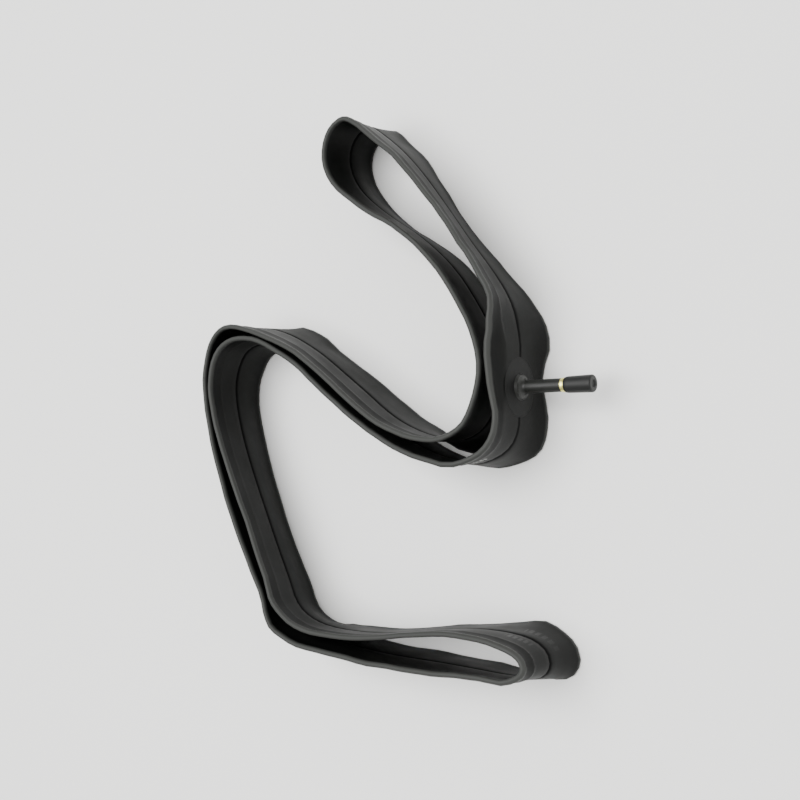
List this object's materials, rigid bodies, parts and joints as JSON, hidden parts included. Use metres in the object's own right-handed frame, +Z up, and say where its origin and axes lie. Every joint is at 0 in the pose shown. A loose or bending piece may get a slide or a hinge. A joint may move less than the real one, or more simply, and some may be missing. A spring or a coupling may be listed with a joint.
{
  "type": "bicycle inner tube",
  "caption": "Empty butyl bicycle inner tube standing on edge, folded into an S, with a rubber-covered car-type valve and a long dust cap.",
  "frame": {"origin": "on the surface the tube stands on, under the middle of its outline", "axes": "+X along the longest extent of the folded tube, +Z up across the flat tube's width, the valve points along -Y"},
  "size_m": [0.3586, 0.3001, 0.055],
  "materials": {
    "butyl": "satin",
    "patch_rubber": "matte",
    "jacket_rubber": "satin",
    "brass": "polished",
    "core_brass": "satin",
    "cap_plastic": "satin",
    "seal_rubber": "matte",
    "gasket": "satin",
    "spring_steel": "satin"
  },
  "bodies": {
    "tube": {"tube_body": "butyl", "valve_patch": "patch_rubber", "stem_jacket": "jacket_rubber", "valve_body": "brass"},
    "cap_washer": {"cap_seal": "seal_rubber"},
    "cap": {"dust_cap": "cap_plastic"},
    "core": {"core_barrel": "core_brass", "core_gasket": "gasket", "core_spring": "spring_steel"},
    "plug": {"core_plug": "core_brass"},
    "pin": {"core_pin": "core_brass", "pin_cup": "core_brass", "seat_washer": "seal_rubber"}
  },
  "joints": [
    {"name": "cap_travel", "type": "slide", "parent": "tube", "child": "cap_washer", "axis": [0, -1, 0], "range_m": [0, 0.00992]},
    {"name": "cap_turn", "type": "hinge", "parent": "cap_washer", "child": "cap", "pos_m": [-0.007, -0.1397, 0.0275], "axis": [0, -1, 0], "range_deg": [0, 4503]},
    {"name": "core_travel", "type": "slide", "parent": "tube", "child": "core", "axis": [0, -1, 0], "range_m": [0, 0.00318]},
    {"name": "core_turn", "type": "hinge", "parent": "core", "child": "plug", "pos_m": [-0.007, -0.1396, 0.0275], "axis": [0, -1, 0], "range_deg": [0, 1623]},
    {"name": "pin_press", "type": "slide", "parent": "core", "child": "pin", "axis": [0, 1, 0], "range_m": [0, 0.0015], "stiffness_N_per_m": 1500, "springref_m": -0.0008, "deforming": ["core_spring"]}
  ],
  "couplings": [
    {"joint": "cap_turn", "follows": "cap_travel", "rad_per_m": 7913.3},
    {"joint": "core_turn", "follows": "core_travel", "rad_per_m": 8899.7}
  ]
}
